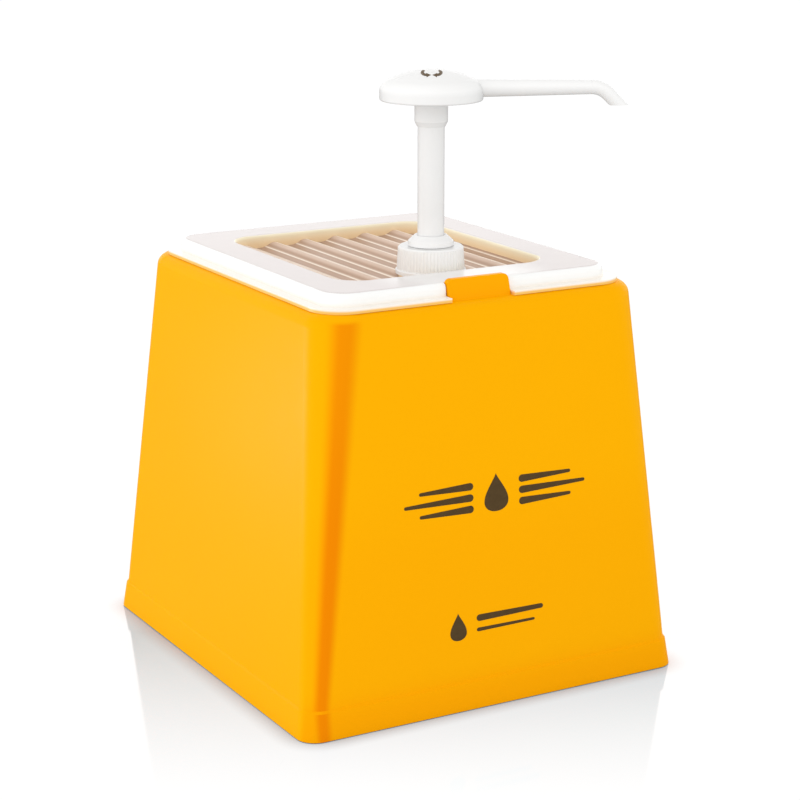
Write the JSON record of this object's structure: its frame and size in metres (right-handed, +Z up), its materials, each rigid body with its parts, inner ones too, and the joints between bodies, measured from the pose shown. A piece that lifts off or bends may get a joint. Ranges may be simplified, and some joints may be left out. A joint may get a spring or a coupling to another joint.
{
  "type": "condiment pump dispenser",
  "caption": "Counter-top condiment dispenser: tapered yellow housing with a hanging tub, a ribbed translucent lid and a sprung plunger pump with a swivelling swan-neck spout.",
  "frame": {"origin": "middle of the footprint on the counter, under the rubber feet", "axes": "+Z up along the pump stem, -Y out of the front face, +X to the right along the front face"},
  "size_m": [0.2568, 0.276, 0.3656],
  "materials": {
    "yellow_shell": "satin moulded",
    "clear_white_lid": "frosted translucent",
    "natural_tub": "satin translucent",
    "white_pump": "gloss moulded",
    "natural_barrel": "satin moulded",
    "dip_tube": "satin extruded",
    "soft_seal": "matte silicone",
    "foot_rubber": "matte",
    "stainless": "drawn wire and ground balls"
  },
  "bodies": {
    "housing": {"housing": "yellow_shell", "rubber_feet": "foot_rubber"},
    "container": {"container": "natural_tub"},
    "lid": {"lid": "clear_white_lid"},
    "pump": {"barrel": "natural_barrel", "barrel_gasket": "soft_seal", "guide_cap": "white_pump", "stem_seal": "soft_seal", "foot_valve": "natural_barrel", "ball_retainer": "natural_barrel", "dip_tube": "dip_tube", "return_spring": "stainless"},
    "collar": {"closure_collar": "white_pump"},
    "plunger": {"piston": "natural_barrel", "piston_cup": "soft_seal"},
    "head": {"stem": "white_pump", "pump_head": "white_pump", "spout": "white_pump"},
    "upper_ball": {"upper_ball": "stainless"},
    "lower_ball": {"lower_ball": "stainless"}
  },
  "joints": [
    {"name": "container_lift", "type": "slide", "parent": "housing", "child": "container", "axis": [0, 0, 1], "range_m": [0, 0.23]},
    {"name": "lid_lift", "type": "slide", "parent": "container", "child": "lid", "axis": [0, 0, 1], "range_m": [0, 0.23]},
    {"name": "pump_lift", "type": "slide", "parent": "lid", "child": "pump", "axis": [0, 0, 1], "range_m": [0, 0.245]},
    {"name": "collar_turn", "type": "hinge", "parent": "pump", "child": "collar", "pos_m": [0, -0.055, 0.26], "axis": [0, 0, 1], "range_deg": [0, 540]},
    {"name": "plunger_press", "type": "slide", "parent": "pump", "child": "plunger", "axis": [0, 0, -1], "range_m": [0, 0.062], "stiffness_N_per_m": 140, "springref_m": -0.03, "deforming": ["return_spring"]},
    {"name": "head_swivel", "type": "hinge", "parent": "plunger", "child": "head", "pos_m": [0, -0.055, 0.26], "axis": [0, 0, 1], "continuous": true},
    {"name": "upper_ball_lift", "type": "slide", "parent": "plunger", "child": "upper_ball", "axis": [0, 0, 1], "range_m": [0, 0.002]},
    {"name": "lower_ball_lift", "type": "slide", "parent": "pump", "child": "lower_ball", "axis": [0, 0, 1], "range_m": [0, 0.0022]}
  ]
}
